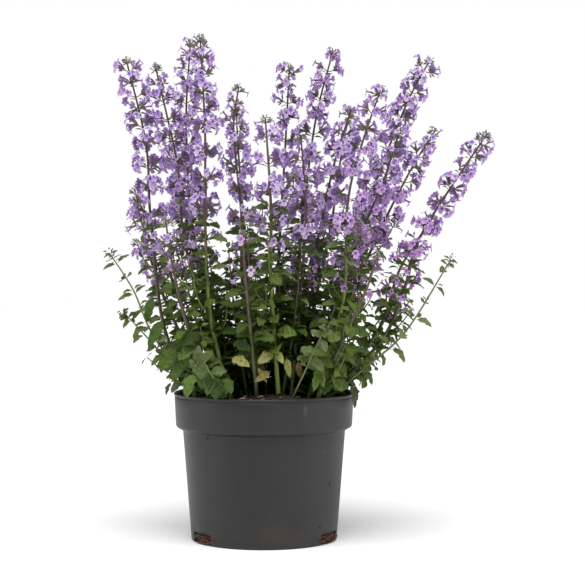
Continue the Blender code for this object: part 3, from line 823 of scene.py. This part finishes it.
def petal_trumpets(base, forward, up, size, spread):
    """Sixteen rays round each flower: two rings of tube, then two of lobes as long as PETAL_LIPS.

    The lobes are a broad lower lip of four rays, two side lobes of two and a hood of four, with a short
    ray in each gap. The hood leans forwards from the mouth, the lower lip stands square to the tube,
    and the outer part of every lobe curls back. Each ray's length is changed at random by up to a tenth.
    """
    frill = np.random.default_rng(len(base)).uniform(0.9, 1.1, (len(base), 16))
    around = PETAL_RAYS
    slope = 0.36 + 0.36 * np.sin(around)
    outward = np.sqrt(1.0 - slope**2)
    lip = spread[:, None] * frill * PETAL_LIPS
    count = len(base)
    ahead = np.broadcast_to(np.array((2.0, TUBE))[:, None], (count, 2, 16))
    wide = np.broadcast_to(np.array((0.6, 1.2))[:, None], (count, 2, 16))
    middle = lip * 0.62
    lobe_ahead = np.stack([middle * (slope + 0.16), lip * (slope - 0.16)], axis=1)
    lobe_wide = np.stack([middle * (outward - 0.04), lip * outward], axis=1)
    forwards = np.concatenate([ahead, TUBE + lobe_ahead], axis=1)
    radial = np.concatenate([wide, 1.2 + lobe_wide], axis=1)
    arch = 0.030 * forwards**2 - 0.12 * forwards
    side = np.cross(up, forward)
    scale = size[:, None, None]
    points = base[:, None, None] + (scale * forwards)[..., None] * forward[:, None, None]
    points = points + (scale * radial * np.cos(around))[..., None] * side[:, None, None]
    points = points + (scale * (radial * np.sin(around) - arch))[..., None] * up[:, None, None]
    return points, [grid_faces(count, 4, 16, True)]


def calyx_cups(base, forward, up, pedicel, length, closed):
    """Six ribs round each cup: a thin flower stalk, a swelling tube, and teeth on every other rib.

    Lengths and girths are shares of length, and closed multiplies the girth of the mouth.
    """
    ribs = np.arange(6)
    around = ribs * np.pi / 3.0
    tooth = (ribs % 2)[None, :] * 0.30
    count = len(base)
    rows = np.array((0.0, 0.0, 0.22, 0.60, 0.80))[None, :, None] * length[:, None, None]
    forwards = rows + (np.arange(5) > 0)[:, None] * pedicel[:, None, None]
    forwards = np.broadcast_to(forwards, (count, 5, 6)).copy()
    forwards[:, 4] += tooth * length[:, None]
    girth = np.array((0.055, 0.075, 0.175, 0.205, 0.225))[None, :, None] * length[:, None, None]
    girth = np.broadcast_to(girth, (count, 5, 6)).copy()
    girth[:, 4] *= closed[:, None]
    side = np.cross(up, forward)
    points = base[:, None, None] + forwards[..., None] * forward[:, None, None]
    points = points + (girth * np.cos(around))[..., None] * side[:, None, None]
    points = points + (girth * np.sin(around))[..., None] * up[:, None, None]
    return points, [grid_faces(count, 5, 6, True)]


def ring_of_flowers(growth, cups, place, way, side, each, opened, size, reach):
    """Two stalked clusters on opposite sides of the stem; the flowers of each one fan outwards.

    Each flower turns from its cluster's direction by a random angle to the side and another upwards,
    and its petals start a quarter of the way up its calyx.
    """
    draw = growth.draw
    half = np.arange(2 * each) % 2
    out = swung(side, way, (half * np.pi + draw.normal(0.0, 0.16, 2)[half])[:, None])
    heart = place + reach * (0.85 * out + draw.uniform(0.2, 0.7, 2)[half][:, None] * way)
    growth.twigs += [(place, 0.5 * (place + end) - (0.0, 0.0, 0.5), end) for end in heart[:2]]
    fan = draw.uniform(-1.45, 1.45, (2 * each, 1))
    rise = draw.uniform(-0.50, 1.20, (2 * each, 1))
    forward = swung(out, way, fan, rise)
    up = unit(way - forward * (forward @ way)[:, None] + 0.25 * draw.normal(size=(2 * each, 3)))
    up = unit(up - forward * np.sum(up * forward, axis=1, keepdims=True))
    base = heart + draw.normal(0.0, 0.5, (2 * each, 3))
    pedicel = draw.uniform(0.8, 4.0, 2 * each) * size
    length = 5.3 * size * draw.uniform(0.82, 1.12, 2 * each)
    open_now = draw.uniform(0.0, 1.0, 2 * each) < opened
    closed = np.where(open_now, 1.0, draw.uniform(0.30, 0.9, 2 * each))
    cups.append(np.column_stack([base, forward, up, pedicel, length, closed]))
    start = base + forward * (pedicel + 0.25 * length)[:, None]
    scale = size * draw.uniform(0.85, 1.08, 2 * each)
    petals = np.column_stack([start, forward, up, scale, draw.uniform(0.85, 1.15, 2 * each)])
    growth.petals.append(petals[open_now])


def bracts(growth, line, distance, turn, length):
    """A pair of small pointed leaves under a ring of flowers."""
    place, way, side = line.at(distance)
    for angle in (turn, turn + np.pi):
        along = swung(side, way, angle, growth.draw.uniform(0.1, 0.6))
        base = place + swung(side, way, angle)
        growth.leaf(base, along, way, length, length * 0.42, growth.draw.uniform(0.3, 1.2), 0.4)


def flower_ring(growth, cups, line, distance, turn, each, opened, size, reach):
    """The two clusters of one ring, at a distance along a line and turned about it."""
    place, way, side = line.at(distance)
    side = swung(side, way, turn)
    ring_of_flowers(growth, cups, place, way, side, each, opened, size, reach)


def flower_spike(growth, line, start, crowd, size, step, reach, opened):
    """Rings of flowers up a stalk, ending in a knot of buds.

    From ring to ring the step shrinks by STEP_SHRINK. As the share of the way up grows, the flowers
    get fewer and smaller, their stalks shorter, and near the tip fewer of them are open.
    """
    distance = start + WHORL_FIRST * (step / WHORL_STEP)
    turn = growth.draw.uniform(0.0, np.pi)
    while distance < line.length - 7.0:
        share = (distance - start) / (line.length - start)
        each = int(round(crowd * (1.0 - 0.40 * share) * growth.draw.uniform(0.8, 1.15)))
        young = size * (1.0 - 0.10 * share**2)
        stalk = reach * (1.0 - 0.30 * share) * growth.draw.uniform(0.75, 1.25)
        chance = opened * (1.0 - 0.75 * share**5)
        flower_ring(growth, growth.calyces, line, distance, turn, each, chance, young, stalk)
        bracts(growth, line, distance - 2.5, turn, (16.0 - 11.0 * share) * size)
        turn += 0.5 * np.pi
        distance += step
        step = max(LEAST_STEP, step * STEP_SHRINK)
    flower_ring(growth, growth.buds, line, line.length - 5.0, turn, 7, 0.12 * opened, 0.72 * size, 2.6)
    flower_ring(growth, growth.buds, line, line.length, turn + 1.5, 5, 0.0, 0.55 * size, 0.8)
    bracts(growth, line, line.length - 3.0, turn, 6.0)
    bracts(growth, line, line.length, turn + 1.5, 5.0)


def calyx_finish(name, purple, green):
    """Ribbed downy skin: green towards its stalk and anything from purple to green above."""
    finish = Finish(name, 0.60, purple)
    number, across, along = finish.shares()
    hue = finish.blend(purple, green, finish.chance(number, 2.5))
    hue = finish.blend((0.170, 0.180, 0.095), hue, finish.between(along, 0.15, 0.60))
    ribbing = (across * 37.7).of("SINE")
    finish.let_light_through(green, 0.30)
    finish.colour(finish.blend(hue, (0.36, 0.33, 0.35), finish.between(ribbing, 0.2, 1.0) * 0.25))
    return finish


calyx_skin = calyx_finish("calyx", (0.235, 0.095, 0.200), (0.290, 0.250, 0.210))
bud_skin = calyx_finish("bud", (0.330, 0.285, 0.310), (0.360, 0.375, 0.270))

petal_skin = Finish("petal", 0.60, (0.33, 0.21, 0.58))
number, across, along = petal_skin.shares()
split = petal_skin.node("ShaderNodeSeparateXYZ", {}, {"Vector": petal_skin.place})
aside = petal_skin.between(Value(split.outputs["X"]), 0.020, 0.100)
aside = aside * (1.0 - petal_skin.between(Value(split.outputs["Z"]), 0.290, 0.410))
tint = petal_skin.blend((0.330, 0.190, 0.620), (0.590, 0.320, 0.650), petal_skin.chance(number, 1.5))
patch = petal_skin.between(petal_skin.noise(36.0, 1.0), 0.42, 0.62)
tint = petal_skin.blend(tint, (0.400, 0.170, 0.600), patch * 0.38)
pale = petal_skin.between(petal_skin.chance(number, 4.5), 0.5, 1.0)
tint = petal_skin.blend(tint, (0.700, 0.610, 0.790), pale * 0.75)
tint = petal_skin.blend(tint, (0.580, 0.210, 0.610), aside * 0.70)
# Paler towards the lobe ends: partly the flower's own paler lips, partly a painted highlight on the lobe
# edges.
tint = petal_skin.blend(tint, (0.820, 0.765, 0.870), petal_skin.between(along, 0.60, 1.0) * 0.78)
tint = petal_skin.blend((0.270, 0.125, 0.480), tint, petal_skin.between(along, 0.05, 0.62))
lower_lip = petal_skin.between((across - 0.5).of("ABSOLUTE"), 0.28, 0.44)
speck = petal_skin.between(petal_skin.noise(1500.0, 1.0), 0.55, 0.66)
lip_specks = speck * lower_lip * petal_skin.between(along, 0.4, 0.6) * 0.40
petal_skin.colour(petal_skin.blend(tint, (0.230, 0.100, 0.450), lip_specks))
petal_skin.let_light_through((0.500, 0.330, 0.640), 0.32)


def blades_of(growth):
    """Large leaves on a fine grid and small ones on a coarse grid, without those that touch the pot."""
    every = np.array(growth.leaves)
    parts = []
    large = every[:, 9] >= FINE_LEAF
    for rings, rows in (((12, 5), every[large]), ((8, 3), every[~large])):
        points, _ = leaf_blades(rings, *apart(rows))
        parts.append(leaf_blades(rings, *apart(rows[clears_pot(points)])))
    return parts


def side_shoot(growth, line, distance, turn, length, flowers):
    """A shoot from a leaf axil: it leaves at a slant, curves up and bears leaves, and flowers if asked."""
    place, way, side = line.at(distance)
    out = swung(side, way, turn)
    bends = ((0.0, 0.0), (0.30, 0.22), (0.46, 0.60), (0.50, 0.98))
    shoot = Line(smooth_line([place + length * (away * out + up * way) for away, up in bends]))
    growth.stalks.append(square_stalk(shoot, np.linspace(0.8, 0.5, len(shoot.points))))
    if flowers:
        clothe(growth, shoot, shoot.length * 0.25, shoot.length * 0.5, 11.0, 9.0, 0)
        flower_spike(growth, shoot, shoot.length * 0.45, 6, 0.85, 16.0, 4.0, 0.7)
    else:
        clothe(growth, shoot, shoot.length * 0.30, shoot.length, 17.0, 8.0, 1)


# Each flowering stem in turn: stalk, leaves, calyces and petals, standing for its two solids. Stems at
# the left bear smaller leaves and fewer side shoots. SHOOTS holds the shares of the way up to the
# flowers at which side shoots leave.
SHOOTS = {"left": (0.14, 0.28), "fresh": (0.30, 0.42, 0.54), "other": (0.12, 0.26, 0.40, 0.54)}

for index, (name, foot, knots, tip, bloom) in enumerate(FLOWERING):
    growth = Growth(100 + index, outwards(foot, tip, 0.5))
    line = Line(rising(foot, *knots, tip)[:-BUD_RINGS])
    start = line.reaches(bloom)
    stem_skin, thick = (fresh_stem, FRESH_RADIUS) if name in FRESH else (dusky_stem, FOOT_RADIUS)
    radius = np.interp(line.run, (0.0, 0.7 * start, start, line.length), (thick, 1.7, 1.35, TIP_RADIUS))
    growth.stalks.append(square_stalk(line, radius))
    big, small, tufts = (25.0, 17.0, 2) if foot[0] < -35 else (28.0, 22.0, 4)
    clothe(growth, line, line.reaches(LOWEST_LEAF), start - 4.0, big, small, tufts)
    for share in SHOOTS["left" if foot[0] < -45 else "fresh" if name in FRESH else "other"]:
        turn = growth.draw.uniform(0.0, 6.28)
        length = growth.draw.uniform(30.0, 46.0)
        side_shoot(growth, line, line.reaches(157.0) + share * start, turn, length, False)
    turn = growth.draw.uniform(0.0, np.pi)
    opened, crowd = SHY.get(name, (OPEN_SHARE, CROWD))
    if opened > 0.5:
        for below, each in ((20.0, 5), (44.0, 3)):
            flower_ring(growth, growth.calyces, line, start - below, turn + below, each, 0.8, 0.95, 7.0)
        if growth.draw.uniform() < 0.6:
            side_shoot(growth, line, start - 14.0, turn + 0.8, growth.draw.uniform(34.0, 52.0), True)
    flower_spike(growth, line, start, crowd, 0.98, STEPS.get(name, WHORL_STEP), 8.0, opened)
    stalks = [*growth.stalks, strands(np.array(growth.twigs), 0.5)]
    new_piece("stalk_" + name, stalks, stem_skin, ["stem_" + name])
    new_piece("leaves_" + name, blades_of(growth), foliage)
    for kind, cups, skin in (("calyces_", growth.calyces, calyx_skin), ("buds_", growth.buds, bud_skin)):
        new_piece(kind + name, [calyx_cups(*apart(np.concatenate(cups)))], skin)
    trumpets = petal_trumpets(*apart(np.concatenate(growth.petals)))
    new_piece("petals_" + name, [trumpets], petal_skin, ["spike_" + name])

# The leafy side shoots: young stems that lean out over the rim and have not flowered, with softer
# and paler leaves than the clump, which look outwards. Three close pairs of small leaves end each one,
# and those that lie over the rim are thinner.
shoot_stem = stem_finish("shoot_stem", (0.120, 0.135, 0.045), (0.150, 0.150, 0.070), 0.250)
leaf_tones = ((0.095, 0.150, 0.038), (0.165, 0.225, 0.075), (0.200, 0.250, 0.125))
shoot_leaf = leaf_finish("shoot_leaf", leaf_tones, (0.28, 0.35, 0.16), 0.42)
for index, (name, foot, knots, tip) in enumerate(LEAFY):
    growth = Growth(200 + index, outwards(foot, tip, 0.3) + (0.0, 0.5 * np.sign(tip[1]), 0.0))
    line = Line(rising(foot, *knots, tip))
    thick, big, gap = (1.0, 19.0, 13.0) if "rim" in name else (1.3, 22.0, 18.0)
    growth.stalks.append(square_stalk(line, np.interp(line.run, (0.0, line.length), (thick, 0.6))))
    clothe(growth, line, line.reaches(LOWEST_LEAF), line.length - 12.0, big, 15.0, 2, gap)
    for back, size in ((6.0, 11.0), (3.0, 9.0), (0.0, 7.0)):
        leaf_pair(growth, line, line.length - back, 0.7 * back, size, 2, -0.6)
    stem_skin = fresh_stem if name in FRESH else shoot_stem
    new_piece("stalk_" + name, growth.stalks, stem_skin, [name])
    new_piece("leaves_" + name, blades_of(growth), shoot_leaf)

# The heart of the clump: thin leafy shoots that stand between the flowering stems and end about
# where the flowers begin. Their feet lie along a spiral in the middle of the pot and they lean
# outwards to random heights. Ten short sprouts stand among and behind them.
INNER_SHOOTS = 18
SPROUTS = (
    (-62, 40), (-44, 58), (-24, 68), (-4, 44), (12, 72), (30, 50), (48, 62), (66, 36), (-34, 30), (10, 24),
)
growth = Growth(300)
for index in range(INNER_SHOOTS):
    turn = index * 2.4
    reach = 58.0 * np.sqrt((index + 0.5) / INNER_SHOOTS)
    x, y = reach * np.cos(turn), reach * np.sin(turn) + 14.0
    top = growth.draw.uniform(250.0, 335.0)
    lean = 1.0 + (top - 150.0) / 230.0
    halfway = (x * lean, y * lean, 0.5 * top + 75.0)
    line = Line(rising((x, y), halfway, (x * lean * 1.25, y * lean * 1.15, top)))
    growth.stalks.append(square_stalk(line, np.interp(line.run, (0.0, line.length), (1.2, 0.6))))
    clothe(growth, line, line.reaches(160.0), line.length, 24.0, 14.0, 4)
for x, y in SPROUTS:
    line = Line(rising((x, y), (x * 1.1, y * 1.1, 175.0), (x * 1.2, y * 1.15, 198.0)))
    growth.stalks.append(square_stalk(line, np.linspace(1.1, 0.6, len(line.points))))
    clothe(growth, line, line.reaches(158.0), line.length, 24.0, 17.0, 4, 10.0)
new_piece("inner_stalks", growth.stalks, dusky_stem)
new_piece("inner_leaves", blades_of(growth), foliage)

# The lowest leaves, placed one by one: broad ones at the rim and a little above it, young bright
# ones, and old ones that have turned yellow or brown before they drop. Each row is base, tip, width,
# the way its upper face looks and how far it droops.
BROAD_LEAVES = (
    ((-90, -50, 206), (-105, -60, 183), 17, (0.15, -1.0, 0.25), 0.5),
    ((-104, -42, 234), (-118, -52, 206), 12, (0.1, -1.0, 0.2), 0.3),
    ((-114, -38, 258), (-122, -44, 231), 11, (-0.2, -1.0, 0.1), 0.4),
    ((-54, -82, 182), (-44, -102, 160), 16, (0.3, -0.9, 0.65), 0.7),
    ((-70, -68, 180), (-79, -86, 160), 15, (-0.3, -0.9, 0.6), 0.6),
    ((-58, -76, 188), (-62, -98, 172), 15, (0.0, -0.6, 0.9), 0.9),
    ((-78, -56, 190), (-96, -66, 176), 15, (-0.2, -0.8, 0.7), 0.8),
    ((-40, -80, 176), (-30, -96, 166), 12, (0.3, -0.8, 0.6), 0.7),
    ((-66, -62, 206), (-86, -78, 199), 15, (0.0, -0.8, 0.8), 0.7),
    ((13, -62, 221), (32, -80, 222), 15, (0.1, -1.0, 0.5), 0.4),
    ((74, -64, 204), (104, -74, 208), 13, (0.1, -0.8, 0.9), 0.6),
    ((60, -74, 188), (84, -90, 182), 15, (0.1, -1.0, 0.7), 0.6),
    ((70, -66, 178), (62, -88, 163), 14, (0.0, -1.0, 0.6), 0.5),
    ((-30, -70, 212), (-14, -88, 207), 14, (0.0, -0.9, 0.7), 0.5),
    ((-62, -60, 220), (-84, -76, 212), 15, (0.0, -0.9, 0.7), 0.6),
    ((86, -50, 220), (108, -62, 222), 12, (0.0, -0.9, 0.8), 0.6),
    ((92, -40, 190), (112, -48, 184), 13, (0.2, -0.9, 0.6), 0.6),
    ((38, -70, 206), (52, -88, 200), 13, (0.0, -0.9, 0.7), 0.6),
)
YOUNG_LEAVES = (
    ((57, -74, 187), (52, -91, 164), 10, (0.3, -1.0, 0.1), 0.2),
    ((61, -74, 186), (60, -90, 168), 8, (-0.5, -1.0, 0.1), 0.3),
    ((76, -62, 190), (84, -76, 181), 9, (0.0, -1.0, 0.5), 0.4),
    ((-78, -60, 222), (-90, -70, 216), 9, (0.0, -1.0, 0.6), 0.4),
    ((34, -66, 196), (46, -80, 194), 9, (0.0, -1.0, 0.6), 0.4),
)
YELLOW_LEAVES = (
    ((-32, -76, 196), (-14, -92, 190), 12, (0.0, -0.9, 0.6), 0.3),
    ((11, -70, 202), (-4, -82, 192), 12, (0.1, -1.0, 0.4), 0.4),
    ((13, -70, 203), (20, -82, 192), 8, (0.0, -1.0, 0.4), 0.4),
    ((24, -66, 196), (27, -74, 176), 8, (-0.2, -1.0, 0.1), 0.3),
    ((8, -68, 182), (-7, -80, 173), 8, (0.2, -1.0, 0.4), 0.4),
    ((-6, -66, 186), (4, -76, 172), 5, (0.2, -1.0, 0.2), 0.4),
)
WITHERED_LEAVES = (
    ((-6, -55, 192), (1, -64, 176), 9, (0.1, -1.0, 0.3), 0.9),
    ((-12, -56, 188), (-6, -64, 178), 6, (-0.3, -1.0, 0.3), 1.1),
    ((36, -56, 192), (37, -60, 174), 7, (-0.2, -1.0, 0.1), 0.7),
    ((64, -58, 186), (71, -66, 174), 8, (0.2, -1.0, 0.2), 0.9),
)
DRY_LEAVES = (
    ((90, -34, 167), (98, -44, 143), 9, (0.7, -0.8, 0.2), 0.5),
    ((93, -26, 166), (102, -32, 150), 7, (0.9, -0.5, 0.2), 0.7),
    ((-96, -34, 168), (-102, -44, 157), 6, (-0.6, -0.8, 0.2), 0.4),
)


def laid_leaves(rows):
    """Blades given by their two ends and the way they face, on a fine grid and well crinkled."""
    base, tip, facing = (np.array([row[i] for row in rows], float) for i in (0, 1, 3))
    width, droop = (np.array([row[i] for row in rows], float) for i in (2, 4))
    along = unit(tip - base)
    up = unit(facing - along * np.sum(facing * along, axis=1, keepdims=True))
    length = np.linalg.norm(tip - base, axis=1)
    return leaf_blades((26, 7), base, along, up, length, width, droop, np.full(len(rows), 0.4), 0.13)


for kind, rows, tones, pale, share in (
    (
        "broad", BROAD_LEAVES,
        ((0.035, 0.075, 0.014), (0.085, 0.155, 0.024), (0.150, 0.225, 0.040)), (0.22, 0.31, 0.10), 0.25,
    ),
    (
        "young", YOUNG_LEAVES,
        ((0.130, 0.240, 0.030), (0.200, 0.310, 0.060), (0.160, 0.260, 0.070)), (0.36, 0.45, 0.18), 0.3,
    ),
    (
        "yellow", YELLOW_LEAVES,
        ((0.300, 0.330, 0.070), (0.560, 0.560, 0.210), (0.340, 0.260, 0.080)), (0.60, 0.58, 0.26), 0.3,
    ),
    (
        "withered", WITHERED_LEAVES,
        ((0.190, 0.110, 0.040), (0.260, 0.150, 0.050), (0.120, 0.105, 0.050)), (0.3, 0.2, 0.1), 0.2,
    ),
    (
        "dry", DRY_LEAVES,
        ((0.075, 0.080, 0.040), (0.110, 0.110, 0.060), (0.090, 0.080, 0.045)), (0.2, 0.2, 0.12), 0.2,
    ),
):
    finish = leaf_finish(kind + "_leaf", tones, pale, share)
    new_piece(kind + "_leaves", [laid_leaves(rows)], finish)

# The stage: a wide white floor, a white surround that lights less than it shows, a soft box at each
# side and a broad soft sun overhead, a little to the front. The camera stands 1.8 m in front of the
# pot and looks almost level.
floor_finish = Finish("studio_floor", 0.9, (0.90, 0.90, 0.90))
bpy.ops.mesh.primitive_plane_add(size=12.0)
studio_floor = bpy.context.object
studio_floor.name = "studio_floor"
studio_floor.data.materials.append(floor_finish.material)

world = bpy.data.worlds.new("surround")
bpy.context.scene.world = world
world.use_nodes = True
sky = world.node_tree
backdrop = sky.nodes["Background"]
backdrop.inputs["Strength"].default_value = 1.0
seen = sky.nodes.new("ShaderNodeLightPath")
dimmer = sky.nodes.new("ShaderNodeMix")
dimmer.data_type = "RGBA"
dimmer.inputs[6].default_value = (0.36, 0.36, 0.37, 1.0)
dimmer.inputs[7].default_value = (1.0, 1.0, 1.0, 1.0)
sky.links.new(seen.outputs["Is Camera Ray"], dimmer.inputs[0])
sky.links.new(dimmer.outputs[2], backdrop.inputs["Color"])


def soft_box(name, place, turn, size, power):
    """A rectangular light of a size in metres and a power in watts, shining down before its turn."""
    lamp = bpy.data.lights.new(name, "AREA")
    lamp.shape = "RECTANGLE"
    lamp.size, lamp.size_y = size
    lamp.energy = power
    box = bpy.data.objects.new(name, lamp)
    box.location = place
    box.rotation_euler = turn
    bpy.context.scene.collection.objects.link(box)


soft_box("left_box", (-2.0, -0.5, 0.9), (0.0, -1.45, -0.2), (1.6, 1.4), 15.0)
soft_box("right_box", (2.0, -0.5, 0.9), (0.0, 1.45, 0.2), (1.6, 1.4), 17.5)
sun = bpy.data.lights.new("overhead", "SUN")
sun.energy = 3.1
sun.angle = 0.9
overhead = bpy.data.objects.new("overhead", sun)
overhead.rotation_euler = (0.45, 0.0, 0.0)
bpy.context.scene.collection.objects.link(overhead)

lens = bpy.data.cameras.new("view")
lens.sensor_width = 36.0
lens.lens = 104.9
camera = bpy.data.objects.new("view", lens)
camera.location = (0.030, -1.800, 0.309)
camera.rotation_euler = (np.radians(88.44), 0.0, 0.0)
bpy.context.scene.collection.objects.link(camera)
bpy.context.scene.camera = camera
bpy.context.scene.view_settings.view_transform = "Standard"

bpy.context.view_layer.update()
